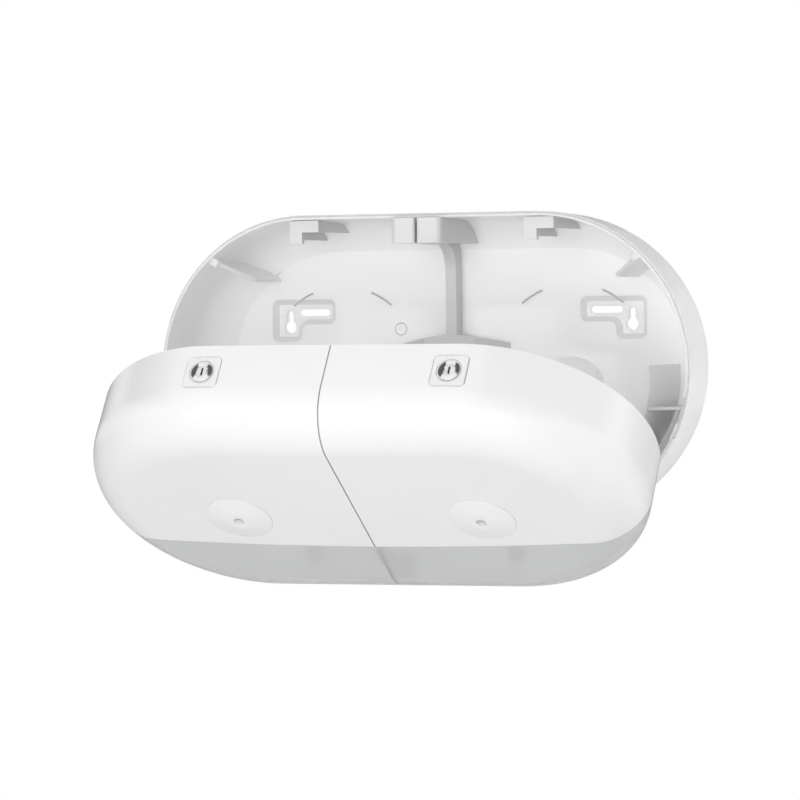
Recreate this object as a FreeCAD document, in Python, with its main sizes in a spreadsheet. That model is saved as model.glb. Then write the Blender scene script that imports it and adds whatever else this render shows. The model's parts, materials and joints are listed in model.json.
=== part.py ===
"""Twin centre-feed toilet roll dispenser, standing open on its wall as a set of separate pieces.

X runs to the right along the wall, Y into the wall and Z up. The origin is the middle of the
back face, on the wall. Every piece is drawn with the cover shut, and the pieces of the cover
are then swung down about the hinge at the lower edge of the rear housing.
"""
import FreeCAD, Part
import os
import re

import Sketcher
from FreeCAD import Vector

# Driving dimensions in millimetres, angles in degrees.
SIZES = {
    # whole dispenser
    "width": 398,
    "height": 221,
    "depth": 156,
    "rear_depth": 88,
    "open_angle": 54.5,
    "overrun": 2,
    "seat_gap": 0.05,
    # rear housing shell
    "wall": 3.2,
    "back_taper": 2.4,
    "back_edge_radius": 46,
    "inner_corner_radius": 43,
    "bend_depth": 22.5,
    "floor_depth": 9.7,
    "floor_drop": 22.6,
    "hollow_near": 14,
    "hollow_far": 134,
    "hollow_bend": 118,
    "hollow_step": 88,
    "hollow_rise": 46,
    "hollow_shelf": 12,
    "hollow_skew": 26,
    "hollow_corner": 5,
    "lip_step": 1.7,
    "lip_height": 2.5,
    "lip_drop": 50,
    "lip_notch_top": 21,
    "lip_notch_height": 18,
    # roll cradle, side ledge and side fins of the rear housing
    "cradle_half": 79.7,
    "cradle_tip": 1.4,
    "cradle_fall": 7.8,
    "cradle_rise": 12.4,
    "cradle_grip": 3,
    "cradle_set": 2,
    "cradle_clear": 5,
    "cradle_low": 80,
    "ledge_drop": 29,
    "ledge_thickness": 2,
    "ledge_set": 8,
    "fin_across": 48.5,
    "fin_rise": 64.5,
    "fin_angle": 31,
    "fin_thickness": 2.6,
    "fin_depth": 60,
    "fin_tab_reach": 7,
    "fin_tab_depth": 9,
    "fin_tab_thickness": 5,
    # back wall of the rear housing
    "hub_radius": 24,
    "hub_drop": 17,
    "hub_height": 10,
    "tick_radius": 58.7,
    "tick_width": 1.4,
    "tick_height": 1.2,
    "tick_low_angle": 50,
    "tick_high_angle": 67.5,
    "pad_inner": 94.3,
    "pad_outer": 144.1,
    "pad_top": 50.3,
    "pad_shelf": 31.9,
    "pad_low": 19.3,
    "pad_leg": 23,
    "pad_sink": 4.2,
    "pad_slope_angle": 42,
    "pad_corner": 5,
    "slot_across": 112.5,
    "slot_rise": 40.6,
    "slot_length": 25,
    "slot_width": 5,
    "keyhole_across": 131.8,
    "keyhole_rise": 30.2,
    "keyhole_radius": 4.75,
    "keyhole_travel": 9.5,
    "mould_ring_across": 43,
    "mould_ring_rise": 28,
    "mould_ring_radius": 4.75,
    "mould_ring_width": 0.6,
    "mould_ring_height": 0.5,
    # divider between the two rolls
    "post_width": 37,
    "post_slit": 1.6,
    "post_height": 18,
    "post_proud": 9,
    "post_corner": 3,
    "post_round": 5,
    "slit_round": 2.5,
    "column_width": 8,
    "column_depth": 12.4,
    "sweep_radius": 20,
    "sweep_reach": 24,
    "foot_depth": 18.3,
    "foot_front": 38.4,
    "foot_gap": 23.5,
    "foot_peak": 24,
    "foot_shoulder": 17.5,
    "foot_drop": 38,
    "foot_corner": 2.5,
    # keepers that the lock cams hook behind
    "keeper_width": 22,
    "keeper_leg": 9.4,
    "keeper_thickness": 4.5,
    "keeper_set": 2,
    "bed_gap": 0.15,
    "keeper_height": 16.2,
    "keeper_beam": 8.2,
    "web_thickness": 2.5,
    "web_height": 13.2,
    # hinge
    "hinge_inset": 12.5,
    "hinge_drop": 106,
    "knuckle_radius": 4.2,
    "knuckle_width": 7,
    "knuckle_room": 0.5,
    "side_room": 0.4,
    "pin_radius": 1.75,
    "pin_fit": 0.05,
    "arm_width": 10.4,
    "arm_plate": 2.4,
    "arm_rise": 10,
    "arm_slope": 14,
    "arm_toe": 4,
    "arm_screw_back_share": 0.22,
    "arm_screw_front_share": 0.7,
    "arm_screw_radius": 1.4,
    "arm_screw_head": 2.6,
    "arm_screw_head_height": 1.6,
    "arm_screw_bite": 1.8,
    # cover and window
    "cover_wall": 2.8,
    "front_radius": 34,
    "parting_gap": 0.3,
    "rebate_gap": 0.35,
    "groove_width": 0.9,
    "groove_depth": 0.5,
    "window_drop": 36,
    "window_arc_radius": 1900,
    "window_gap": 0.15,
    "rib_thickness": 2.4,
    "rib_reach": 36,
    "rib_top": 4,
    # paper outlets
    "outlet_radius": 3.6,
    "nozzle_radius": 23.3,
    "nozzle_rise": 3.2,
    "nozzle_edge": 0.8,
    "nozzle_flat": 9,
    "nozzle_crown_radius": 30,
    "nozzle_floor": 0.6,
    "stem_radius": 17,
    "stem_wall": 3,
    "stem_length": 8,
    "stem_fit": 0.1,
    "guide_wall": 1.8,
    "guide_throat": 4.2,
    "guide_mouth": 20,
    "guide_depth": 20,
    "guide_tip": 1.2,
    "guide_flange": 2,
    # locks
    "lock_inset": 22,
    "bezel_size": 25,
    "bezel_corner": 4,
    "bezel_proud": 0.4,
    "bezel_drop": 6.8,
    "bezel_fit": 0.1,
    "bezel_edge": 0.6,
    "recess_radius": 9.2,
    "recess_depth": 1.2,
    "barrel_head_radius": 8,
    "barrel_head_height": 1.5,
    "barrel_head_edge": 0.5,
    "barrel_radius": 7,
    "barrel_length": 12.7,
    "barrel_fit": 0.05,
    "nut_flats": 19,
    "nut_thickness": 4,
    "plug_radius": 4.5,
    "plug_fit": 0.05,
    "plug_recess": 0.2,
    "key_slot_width": 1.4,
    "key_slot_length": 6,
    "key_slot_depth": 5,
    "tail_size": 5,
    "tail_fit": 0.05,
    "cam_thickness": 2.4,
    "cam_room": 0.4,
    "cam_hub": 7,
    "cam_corner": 4,
    "cam_reach": 33,
    "cam_arm_width": 6,
    "cam_arm_offset": 0.5,
    "cam_finger_width": 3.5,
    "cam_finger_length": 6.5,
    "cam_tip_corner": 1.2,
    "cam_screw_radius": 1.5,
    "cam_screw_bite": 5,
    "cam_screw_head": 4,
    "cam_screw_head_height": 2.4,
}

doc = FreeCAD.newDocument("twin_roll_dispenser")
sheet = doc.addObject("Spreadsheet::Sheet", "Sizes")
for row, (name, number) in enumerate(SIZES.items(), start=1):
    sheet.set(f"A{row}", name)
    sheet.set(f"B{row}", str(number))
    sheet.setAlias(f"B{row}", name)
doc.recompute()

WORD = re.compile(r"[a-z][a-z_]+")
FORMULA_WORDS = {"sqrt", "sin", "cos", "tan", "deg", "vector", "rotation", "placement"}

# Places that many pieces share, as formulas of the driving dimensions.
END_RADIUS = "(height / 2)"
ROLL_ACROSS = "((width - height) / 2)"
COVER_INSIDE = f"({END_RADIUS} - cover_wall)"
FRONT_INSIDE = "(depth - cover_wall)"
BEZEL_TOP = f"({END_RADIUS} + bezel_proud)"
BEZEL_UNDER = f"({END_RADIUS} - bezel_drop)"
RECESS_FLOOR = f"({BEZEL_TOP} - recess_depth)"
BARREL_UNDER = f"({RECESS_FLOOR} - barrel_length)"
TAIL_LENGTH = "(cam_thickness + cam_room)"
CAM_UNDER = f"({BARREL_UNDER} - {TAIL_LENGTH})"
LOCK_DEPTH = "(rear_depth + lock_inset)"
KEEPER_FRONT = "(rear_depth - keeper_set)"
POST_FRONT = "(rear_depth + post_proud)"
FLOOR_EDGE = f"({END_RADIUS} - wall - floor_drop)"
FOOT_HALF = f"({ROLL_ACROSS} - hub_radius - foot_gap)"
CRADLE_END = f"({FOOT_HALF} + cradle_clear)"
HINGE_ACROSS = f"({ROLL_ACROSS} - hinge_inset)"
ARM_LENGTH = "(depth - front_radius - rear_depth)"
SIDES = {"left": "-1", "right": "1"}


def sized(text):
    """Points each word of a formula at the cell of that name."""
    return WORD.sub(lambda found: found[0] if found[0] in FORMULA_WORDS else "Sizes." + found[0], text)


def size(text):
    """The present value of a formula of named sizes."""
    return float(sheet.evalExpression(sized(text)))


def inner_wall(depth):
    """Height of the housing's inner top face at a depth measured from the wall."""
    run = "(rear_depth + lip_height - wall)"
    return f"({END_RADIUS} - wall - back_taper * (rear_depth + lip_height - {depth}) / {run})"


def mid_wall(depth):
    """Height of the middle of the housing's top wall, on the straight part and round the back bend."""
    straight = f"({END_RADIUS} - wall / 2 - back_taper * (1 - {depth} / rear_depth))"
    if size(depth) >= size("back_edge_radius"):
        return straight
    radius = "(back_edge_radius - wall / 2)"
    centre = f"({END_RADIUS} - back_taper * (1 - back_edge_radius / rear_depth) - back_edge_radius)"
    return f"({centre} + sqrt({radius} ^ 2 - (back_edge_radius - {depth}) ^ 2))"


def new_body(label):
    body = doc.addObject("PartDesign::Body", label)
    body.Label = label
    return body


def sketch_on(body, role, offset="0", across="0", up="0"):
    """A sketch on one of the body's own planes, moved along and across it by named sizes."""
    plane = next(feature for feature in body.Origin.OriginFeatures if feature.Role == role)
    sketch = body.newObject("Sketcher::SketchObject", f"{body.Name}_sketch")
    sketch.AttachmentSupport = [(plane, "")]
    sketch.MapMode = "FlatFace"
    for direction, text in zip("xyz", (across, up, offset)):
        sketch.setExpression(f"AttachmentOffset.Base.{direction}", sized(text))
    return sketch


def drive(sketch, constraint, text):
    """Adds a constraint whose value is a formula of named sizes."""
    index = sketch.addConstraint(constraint)
    sketch.setExpression(f"Constraints[{index}]", sized(text))


def tie(sketch, geometry, end, across=None, up=None):
    """Ties one point of a sketch line or arc to its place."""
    if across is not None:
        drive(sketch, Sketcher.Constraint("DistanceX", -1, 1, geometry, end, size(across)), across)
    if up is not None:
        drive(sketch, Sketcher.Constraint("DistanceY", -1, 1, geometry, end, size(up)), up)


def outline(sketch, corners):
    """A closed outline through corners (across, up) or (across, up, corner radius)."""
    points = [Vector(size(corner[0]), size(corner[1]), 0) for corner in corners]
    ends = points[1:] + points[:1]
    lines = [sketch.addGeometry(Part.LineSegment(start, end)) for start, end in zip(points, ends)]
    for line, following in zip(lines, lines[1:] + lines[:1]):
        sketch.addConstraint(Sketcher.Constraint("Coincident", line, 2, following, 1))
    for line, corner in zip(lines, corners):
        tie(sketch, line, 1, corner[0], corner[1])
    for line, corner in zip(lines, corners):
        if len(corner) > 2:
            first_new = sketch.GeometryCount
            sketch.fillet(line, 1, size(corner[2]), True, True)
            arc = next(number for number in range(first_new, sketch.GeometryCount)
                       if isinstance(sketch.Geometry[number], Part.ArcOfCircle))
            drive(sketch, Sketcher.Constraint("Radius", arc, size(corner[2])), corner[2])


def rectangle(sketch, left, right, low, high):
    outline(sketch, [(left, low), (right, low), (right, high), (left, high)])


def circle(sketch, across, up, radius):
    middle = Vector(size(across), size(up), 0)
    ring = sketch.addGeometry(Part.Circle(middle, Vector(0, 0, 1), size(radius)))
    tie(sketch, ring, 3, across, up)
    drive(sketch, Sketcher.Constraint("Radius", ring, size(radius)), radius)


def ring_sector(sketch, across, up, inner, outer, first_angle, last_angle):
    """A piece of a flat ring between two angles counted from the right."""
    middle = Vector(size(across), size(up), 0)
    turns = [FreeCAD.Units.parseQuantity(f"{size(angle)} deg").getValueAs("rad").Value
             for angle in (first_angle, last_angle)]
    arcs = []
    for radius in (inner, outer):
        ring = Part.Circle(middle, Vector(0, 0, 1), size(radius))
        arc = sketch.addGeometry(Part.ArcOfCircle(ring, *turns))
        tie(sketch, arc, 3, across, up)
        drive(sketch, Sketcher.Constraint("Radius", arc, size(radius)), radius)
        arcs.append(arc)
    for end, angle in ((1, first_angle), (2, last_angle)):
        starts = [sketch.getPoint(arc, end) for arc in arcs]
        line = sketch.addGeometry(Part.LineSegment(*starts))
        for side, arc in enumerate(arcs, start=1):
            sketch.addConstraint(Sketcher.Constraint("Coincident", line, side, arc, end))
        for arc, radius in zip(arcs, (inner, outer)):
            rise, run = (f"{share}(({angle}) * 1 deg)" for share in ("sin", "cos"))
            if abs(size(rise)) > abs(size(run)):
                tie(sketch, arc, end, across=f"{across} + {radius} * {run}")
            else:
                tie(sketch, arc, end, up=f"{up} + {radius} * {rise}")


def feature(body, kind, sketch, **sizes):
    """A pad, pocket or revolution of a sketch, with its lengths driven by named sizes."""
    made = body.newObject(f"PartDesign::{kind}", f"{body.Name}_{kind.lower()}")
    made.Profile = sketch
    for key, text in sizes.items():
        made.setExpression(key, sized(text))
    return made


def pad(body, sketch, length, symmetric=False):
    made = feature(body, "Pad", sketch, Length=length)
    if symmetric:
        made.SideType = "Symmetric"
    return made


def pocket(body, sketch, length, symmetric=False):
    made = feature(body, "Pocket", sketch, Length=length)
    if symmetric:
        made.SideType = "Symmetric"
    return made


def revolve(body, sketch, axis, half=False, back=False):
    made = feature(body, "Revolution", sketch)
    made.ReferenceAxis = (sketch, [axis])
    made.Angle = 180 if half else 360
    made.Reversed = back
    return made


def long_edges(shape, direction, test):
    """Names of the straight edges along a direction whose middle passes a test."""
    names = []
    for number, edge in enumerate(shape.Edges, start=1):
        along = edge.tangentAt(edge.FirstParameter)
        if isinstance(edge.Curve, Part.Line) and abs(along.dot(direction)) > 0.999:
            if test(edge.CenterOfMass):
                names.append(f"Edge{number}")
    return names


def round_edges(body, edges, radius):
    base = body.Tip
    made = body.newObject("PartDesign::Fillet", f"{body.Name}_fillet")
    made.Base = (base, edges)
    made.setExpression("Radius", sized(radius))
    return made


def mirrored(corners):
    """The same corners below the middle, in the order that closes the outline."""
    return [(corner[0], f"-({corner[1]})", *corner[2:]) for corner in reversed(corners)]


def dish(body, rim_to_floor, floor_back, floor_front):
    """A shell with straight top and bottom and half-round ends, from one wall section."""
    section = sketch_on(body, "YZ_Plane")
    outline(section, rim_to_floor + mirrored(rim_to_floor))
    pad(body, section, "width - height", symmetric=True)
    for side, sign in SIDES.items():
        end = sketch_on(body, "YZ_Plane", offset=f"{sign} * {ROLL_ACROSS}")
        outline(end, [(floor_back, "0")] + rim_to_floor + [(floor_front, "0")])
        revolve(body, end, "H_Axis", half=True, back=(side == "left"))


def open_lip(body):
    """Ends the lip above the hinge and leaves a gap in it at each side."""
    front = "rear_depth + lip_height + overrun"
    gaps = [
        ("-lip_drop", f"-({END_RADIUS} + overrun)"),
        ("-lip_notch_top", "-(lip_notch_top + lip_notch_height)"),
    ]
    for high, low in gaps:
        cut = sketch_on(body, "XZ_Plane", offset=front)
        rectangle(cut, "-(width / 2 + overrun)", "width / 2 + overrun", low, high)
        pocket(body, cut, "lip_height + overrun")


def crescent(sketch, across, tip, half, inner_up, outer_up):
    """A crescent between two arcs that meet in a tip at each side."""
    ends = [Vector(size(f"{across} + {way} * {half}"), size(tip), 0) for way in SIDES.values()]
    arcs = []
    for up in (inner_up, outer_up):
        reach = f"sqrt({half} ^ 2 + ({tip} - ({up})) ^ 2)"
        lowest = Vector(size(across), size(f"{up} - {reach}"), 0)
        arcs.append(sketch.addGeometry(Part.Arc(ends[0], lowest, ends[1])))
        tie(sketch, arcs[-1], 3, up=up)
    for end in (1, 2):
        sketch.addConstraint(Sketcher.Constraint("Coincident", arcs[0], end, arcs[1], end))
    for end, way in zip((1, 2), SIDES.values()):
        tie(sketch, arcs[0], end, f"{across} + {way} * {half}", tip)


def wall_ends(front):
    """Depths at which a plate inside the housing is fitted to the curved wall."""
    curve = ("(back_edge_radius / 4)", "(back_edge_radius / 2)", "back_edge_radius")
    return ("(floor_depth - wall / 2)", *curve, front)


def add_cradles(body):
    """Saddles that a roll lies in, and a ledge that braces each against the side wall."""
    base = "(floor_depth - wall / 2)"
    for side, sign in SIDES.items():
        roll = f"({sign} * {ROLL_ACROSS})"
        saddle = sketch_on(body, "XZ_Plane", offset=base)
        crescent(saddle, roll, "cradle_tip", "cradle_half", "cradle_rise", "-cradle_fall")
        pad(body, saddle, f"rear_depth - cradle_set - {base}")
    middle = sketch_on(body, "XZ_Plane", offset="rear_depth")
    rectangle(middle, f"-{CRADLE_END}", CRADLE_END, "-cradle_low", "cradle_tip + overrun")
    pocket(body, middle, "rear_depth - floor_depth")
    for sign in SIDES.values():
        ledge = sketch_on(body, "XY_Plane", offset="-ledge_drop")
        outer = "(cradle_half ^ 2 + (cradle_tip + cradle_fall) ^ 2)"
        near = f"{sign} * ({ROLL_ACROSS} + sqrt({outer} - (ledge_drop - cradle_fall) ^ 2) - cradle_grip)"
        front = "(rear_depth - ledge_set)"
        ends = [(f"{sign} * ({ROLL_ACROSS} + sqrt({mid_wall(depth)} ^ 2 - ledge_drop ^ 2))", f"-{depth}")
                for depth in wall_ends(front)]
        outline(ledge, [(near, f"-{base}"), *ends, (near, f"-{front}")])
        pad(body, ledge, "ledge_thickness", symmetric=True)


def add_fins(body):
    """Sloping plates in the upper corners that keep each roll from climbing, with a tab at the rim."""
    rise = "(fin_across * cos(fin_angle * 1 deg) + fin_rise * sin(fin_angle * 1 deg))"
    span = "(fin_across ^ 2 + fin_rise ^ 2)"
    base = "(floor_depth - wall / 2)"
    front = "(rear_depth - lip_height)"
    for side, sign in SIDES.items():
        turn = "-fin_angle" if side == "right" else "180 + fin_angle"
        ends = [(f"(sqrt({rise} ^ 2 - {span} + {mid_wall(depth)} ^ 2) - {rise})", f"-{depth}")
                for depth in wall_ends(front)]
        rim = ends[-1][0]
        tab = [
            (f"{rim} - fin_tab_reach", f"-({front} - fin_tab_depth)"),
            (rim, f"-({front} - fin_tab_depth)"),
            (rim, f"-{front}"),
            (f"{rim} - fin_tab_reach", f"-{front}"),
        ]
        plate = [("0", f"-{base}"), *ends, ("0", "-fin_depth")]
        for corners, thickness in ((plate, "fin_thickness"), (tab, "fin_tab_thickness")):
            flat = sketch_on(body, "XY_Plane", offset="fin_rise", across=f"{sign} * ({ROLL_ACROSS} + fin_across)")
            flat.AttachmentOffset = FreeCAD.Placement(Vector(), FreeCAD.Rotation(Vector(0, 1, 0), size(turn)))
            flat.setExpression("AttachmentOffset.Rotation.Angle", sized(turn))
            outline(flat, corners)
            pad(body, flat, thickness, symmetric=True)


def add_back_wall_details(body):
    """Round hubs behind the rolls, short marking ribs, sunk pads, slots and keyholes."""
    for sign in SIDES.values():
        roll = f"({sign} * {ROLL_ACROSS})"
        hub = sketch_on(body, "XZ_Plane", offset="floor_depth - wall / 2")
        circle(hub, roll, "-hub_drop", "hub_radius")
        pad(body, hub, "hub_height + wall / 2")
        ticks = sketch_on(body, "XZ_Plane", offset="floor_depth - wall / 2")
        for angles in (("tick_low_angle", "tick_high_angle"), ("180 - tick_high_angle", "180 - tick_low_angle")):
            ring_sector(ticks, roll, "0", "tick_radius", "(tick_radius + tick_width)", *[f"({a})" for a in angles])
        pad(body, ticks, "tick_height + wall / 2")
        sunk = sketch_on(body, "XZ_Plane", offset="floor_depth")
        outline(sunk, [
            (f"{sign} * pad_inner", "pad_shelf", "pad_corner"),
            (f"{sign} * pad_inner", "pad_top", "pad_corner"),
            (f"{sign} * pad_outer", "pad_top", "pad_corner"),
            (f"{sign} * pad_outer", "pad_low", "pad_corner"),
            (f"{sign} * (pad_outer - pad_leg)", "pad_low", "pad_corner"),
            (f"{sign} * (pad_outer - pad_leg)", "pad_shelf", "pad_corner"),
        ])
        pocket(body, sunk, "pad_sink").setExpression("TaperAngle", sized("-pad_slope_angle"))
    ring = sketch_on(body, "XZ_Plane", offset="floor_depth - wall / 2")
    circle(ring, "-mould_ring_across", "mould_ring_rise", "mould_ring_radius")
    circle(ring, "-mould_ring_across", "mould_ring_rise", "(mould_ring_radius - mould_ring_width)")
    pad(body, ring, "wall / 2 + mould_ring_height")
    flats = sketch_on(body, "XZ_Plane", offset="floor_depth + overrun")
    rounds = sketch_on(body, "XZ_Plane", offset="floor_depth + overrun")
    for sign in SIDES.values():
        slot_ends = [f"{sign} * slot_across + {way} * (slot_length - slot_width) / 2" for way in SIDES.values()]
        rectangle(flats, *slot_ends, "slot_rise - slot_width / 2", "slot_rise + slot_width / 2")
        key_sides = [f"{sign} * keyhole_across + {way} * slot_width / 2" for way in SIDES.values()]
        rectangle(flats, *key_sides, "keyhole_rise", "keyhole_rise + keyhole_travel")
        for end in slot_ends:
            circle(rounds, end, "slot_rise", "slot_width / 2")
        circle(rounds, f"{sign} * keyhole_across", "keyhole_rise", "keyhole_radius")
        circle(rounds, f"{sign} * keyhole_across", "keyhole_rise + keyhole_travel", "slot_width / 2")
    for cut in (flats, rounds):
        pocket(body, cut, "floor_depth + 2 * overrun")


def hollow_back(body):
    """Hollows behind the raised back panel, which leave a rim, a middle bar and the pads on the wall."""
    for sign in SIDES.values():
        hollow = sketch_on(body, "XZ_Plane")
        outline(hollow, [
            (f"{sign} * hollow_near", "-hollow_rise", "hollow_corner"),
            (f"{sign} * hollow_bend", "-hollow_rise", "hollow_corner"),
            (f"{sign} * hollow_far", "-hollow_skew", "hollow_corner"),
            (f"{sign} * hollow_far", "hollow_shelf", "hollow_corner"),
            (f"{sign} * hollow_step", "hollow_shelf", "hollow_corner"),
            (f"{sign} * hollow_step", "hollow_rise", "hollow_corner"),
            (f"{sign} * hollow_near", "hollow_rise", "hollow_corner"),
        ])
        pocket(body, hollow, "floor_depth - wall").Reversed = True


def hinge_stations(body, sketch_radius, faces):
    """Sketches of round hinge sections, one for each place along the hinge line."""
    for sign in SIDES.values():
        for face in faces:
            ring = sketch_on(body, "YZ_Plane", offset=f"{sign} * {HINGE_ACROSS} + {face}")
            circle(ring, "-rear_depth", "-hinge_drop", sketch_radius)
            yield ring


def add_knuckles(body):
    """Hinge knuckles on the lower rim, with room between them for the cover's arm."""
    inner_face = "(arm_width / 2 + side_room)"
    for ring in hinge_stations(body, "knuckle_radius", (inner_face, f"-({inner_face} + knuckle_width)")):
        pad(body, ring, "knuckle_width")
    for ring in hinge_stations(body, "(knuckle_radius + knuckle_room)", (inner_face,)):
        pocket(body, ring, f"2 * {inner_face}")
    for ring in hinge_stations(body, "(pin_radius + seat_gap)", (f"({inner_face} + knuckle_width + overrun)",)):
        pocket(body, ring, f"2 * ({inner_face} + knuckle_width + overrun)")


def make_rear_housing():
    body = new_body("rear_housing")
    dish(body, [
        ("0", f"{END_RADIUS} - back_taper", "back_edge_radius"),
        ("-rear_depth", END_RADIUS),
        ("-rear_depth", f"{END_RADIUS} - lip_step"),
        ("-(rear_depth + lip_height)", f"{END_RADIUS} - lip_step"),
        ("-(rear_depth + lip_height)", f"{END_RADIUS} - wall"),
        ("-bend_depth", inner_wall("bend_depth"), "inner_corner_radius"),
        ("-floor_depth", FLOOR_EDGE),
    ], "0", "-floor_depth")
    open_lip(body)
    add_cradles(body)
    add_fins(body)
    add_back_wall_details(body)
    hollow_back(body)
    add_knuckles(body)
    return [body]


def trim_to_hollow(body, across, length):
    """Takes away what would reach into the housing's top wall, its bend or its back panel."""
    fall = f"{END_RADIUS} - sqrt({END_RADIUS} ^ 2 - (keeper_width / 2) ^ 2)"
    sink = "bed_gap" if across == "0" else f"(bed_gap + {fall})"
    rim = "(rear_depth + lip_height)"
    cut = sketch_on(body, "YZ_Plane", offset=across)
    outline(cut, [
        ("-(floor_depth + bed_gap)", f"-{END_RADIUS}"),
        ("-(floor_depth + bed_gap)", f"{FLOOR_EDGE} - {sink}"),
        (f"-(bend_depth + {sink})", f"{inner_wall('bend_depth')} - {sink}", "inner_corner_radius"),
        (f"-{rim}", f"{inner_wall(rim)} - {sink}"),
        (f"-{rim}", f"{END_RADIUS} + overrun"),
        ("overrun", f"{END_RADIUS} + overrun"),
        ("overrun", f"-{END_RADIUS}"),
    ])
    pocket(body, cut, length, symmetric=True)


def make_roll_divider():
    """Spread foot on the back panel, a column that sweeps forward, and a split post under the top wall."""
    body = new_body("roll_divider")
    top = f"({inner_wall('rear_depth')} - bed_gap)"
    post_low = f"({inner_wall('rear_depth')} - post_height)"
    column_front = "(floor_depth + column_depth)"
    foot_front = "(floor_depth + foot_depth)"
    foot = sketch_on(body, "XY_Plane", offset="-foot_drop")
    outline(foot, [
        (FOOT_HALF, "-wall"),
        (FOOT_HALF, "-(floor_depth + bed_gap)"),
        ("foot_front / 2", f"-{foot_front}", "foot_corner"),
        ("-foot_front / 2", f"-{foot_front}", "foot_corner"),
        (f"-{FOOT_HALF}", "-(floor_depth + bed_gap)"),
        (f"-{FOOT_HALF}", "-wall"),
    ])
    pad(body, foot, "foot_drop + foot_peak")
    roof = sketch_on(body, "XZ_Plane", offset=f"{foot_front} + overrun")
    outline(roof, [
        (f"-{FOOT_HALF}", "foot_shoulder"),
        ("-column_width / 2", "foot_peak"),
        ("column_width / 2", "foot_peak"),
        (FOOT_HALF, "foot_shoulder"),
        (f"{FOOT_HALF} + overrun", "foot_peak + overrun"),
        (f"-{FOOT_HALF} - overrun", "foot_peak + overrun"),
    ])
    pocket(body, roof, f"{foot_front} + overrun")
    column = sketch_on(body, "YZ_Plane")
    outline(column, [
        ("-wall", "0"),
        (f"-{column_front}", "0"),
        (f"-{column_front}", post_low, "sweep_radius"),
        (f"-({column_front} + sweep_reach)", post_low),
        (f"-({column_front} + sweep_reach)", f"{post_low} + post_corner"),
        ("-wall", f"{post_low} + post_corner"),
    ])
    pad(body, column, "column_width", symmetric=True)
    post = sketch_on(body, "YZ_Plane")
    outline(post, [
        (f"-{POST_FRONT}", post_low),
        (f"-{POST_FRONT}", top),
        ("-wall", top),
        ("-wall", post_low),
    ])
    pad(body, post, "post_width", symmetric=True)
    slit = sketch_on(body, "XZ_Plane", offset=f"{POST_FRONT} + overrun")
    rectangle(slit, "-post_slit / 2", "post_slit / 2", f"{post_low} - overrun", END_RADIUS)
    pocket(body, slit, f"{POST_FRONT} + overrun - {column_front} - sweep_reach - overrun")
    trim_to_hollow(body, "0", "width")
    for half, radius in (("post_width / 2", "post_round"), ("post_slit / 2", "slit_round")):
        doc.recompute()
        across = size(half)
        edges = long_edges(body.Shape, Vector(0, 0, 1), lambda middle: (
            abs(abs(middle.x) - across) < size("seat_gap") and abs(middle.y + size(POST_FRONT)) < size("seat_gap")))
        round_edges(body, edges, radius)
    return [body]


def make_latch_keepers():
    """Hooked brackets under the top wall, the same way round on both sides."""
    made = []
    back = f"({KEEPER_FRONT} - keeper_thickness)"
    top = f"(sqrt({inner_wall(KEEPER_FRONT)} ^ 2 - (keeper_width / 2) ^ 2) - bed_gap)"
    foot = f"({top} - keeper_height)"
    beam = f"({top} - keeper_beam)"
    for side, sign in SIDES.items():
        body = new_body(f"latch_keeper_{side}")
        roll = f"{sign} * {ROLL_ACROSS}"
        left = f"{roll} - keeper_width / 2"
        plate = sketch_on(body, "YZ_Plane", offset=left)
        outline(plate, [
            (f"-{KEEPER_FRONT}", foot),
            (f"-{KEEPER_FRONT}", top),
            (f"-{back}", top),
            (f"-{back}", foot),
        ])
        pad(body, plate, "keeper_width")
        notch = sketch_on(body, "XZ_Plane", offset=f"{KEEPER_FRONT} + overrun")
        rectangle(notch, f"{left} + keeper_leg", f"{left} + keeper_width + overrun", f"{foot} - overrun", beam)
        pocket(body, notch, "keeper_thickness + 2 * overrun")
        for place, low in ((left, f"({top} - web_height)"), (f"{left} + keeper_width - web_thickness", beam)):
            web = sketch_on(body, "YZ_Plane", offset=place)
            outline(web, [(f"-{back}", low), (f"-{back}", top), ("-floor_depth", top), ("-floor_depth", low)])
            pad(body, web, "web_thickness")
        trim_to_hollow(body, roll, "keeper_width + overrun")
        made.append(body)
    return made


def make_hinge_pins():
    made = []
    half_length = "(arm_width / 2 + side_room + knuckle_width)"
    for side, sign in SIDES.items():
        body = new_body(f"hinge_pin_{side}")
        rod = sketch_on(body, "YZ_Plane", offset=f"{sign} * {HINGE_ACROSS} - {half_length}")
        circle(rod, "-rear_depth", "-hinge_drop", "pin_radius")
        pad(body, rod, f"2 * {half_length}")
        made.append(body)
    return made


def cover_dish(body):
    """The shell that cover and window are cut from, with a rebate over the housing's lip."""
    rebate = "(rear_depth + lip_height + rebate_gap)"
    skirt = f"({END_RADIUS} - lip_step + rebate_gap)"
    dish(body, [
        (f"-{FRONT_INSIDE}", COVER_INSIDE, "front_radius - cover_wall"),
        (f"-{rebate}", COVER_INSIDE),
        (f"-{rebate}", skirt),
        ("-(rear_depth + parting_gap)", skirt),
        ("-(rear_depth + parting_gap)", END_RADIUS),
        ("-depth", END_RADIUS, "front_radius"),
    ], f"-{FRONT_INSIDE}", "-depth")


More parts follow.
